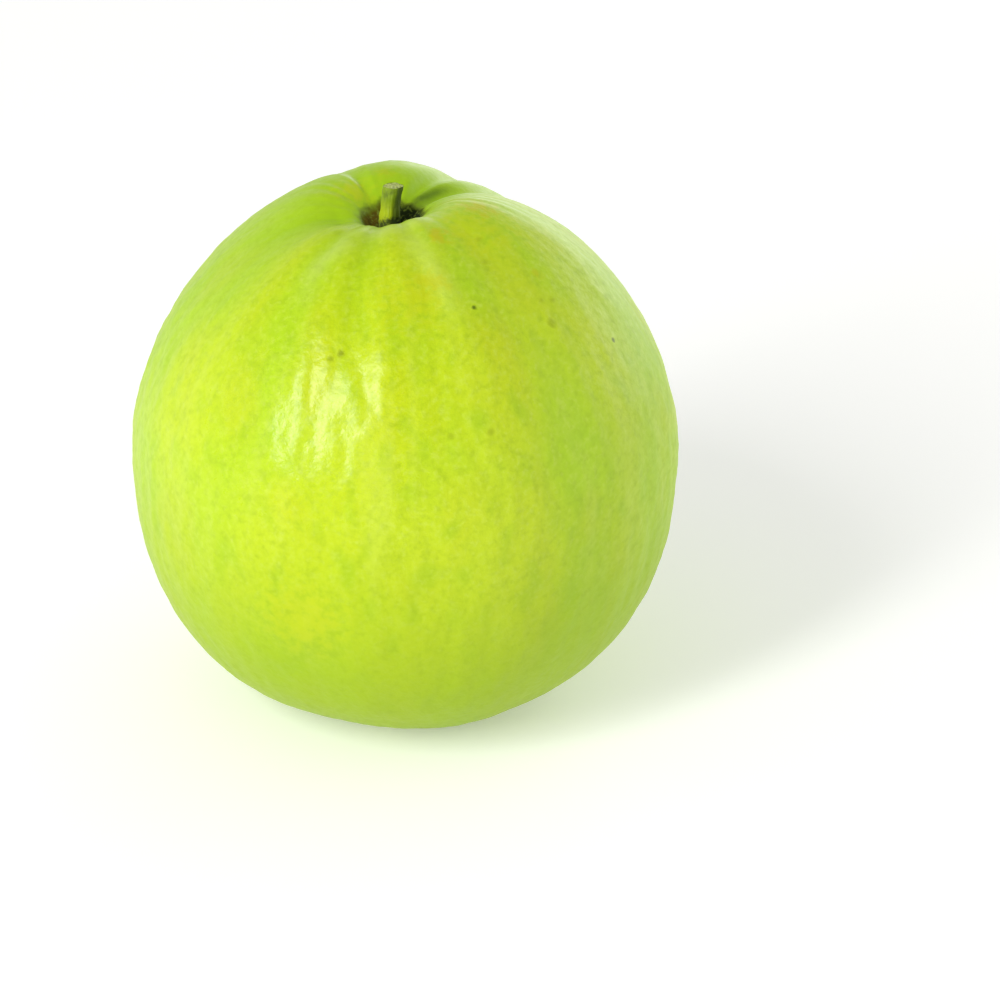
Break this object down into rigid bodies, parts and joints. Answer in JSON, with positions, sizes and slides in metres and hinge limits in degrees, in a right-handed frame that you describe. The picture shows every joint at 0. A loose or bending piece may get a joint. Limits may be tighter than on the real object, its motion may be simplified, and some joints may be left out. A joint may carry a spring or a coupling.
{
  "type": "guava",
  "caption": "Whole round green guava standing on its blossom end, with a puckered stem cavity, a cut stalk stub and a dried calyx.",
  "frame": {"origin": "on the surface that the fruit stands on, under the middle of its bounding box", "axes": "+Z from the blossom end up to the stalk, +X to the viewer's right and -Y towards the viewer of the reference view"},
  "size_m": [0.0951, 0.0946, 0.0933],
  "materials": {
    "skin": "satin",
    "stalk": "matte",
    "calyx": "matte"
  },
  "bodies": {
    "root": {"fruit": "skin", "stalk": "stalk", "calyx": "calyx"}
  },
  "joints": []
}
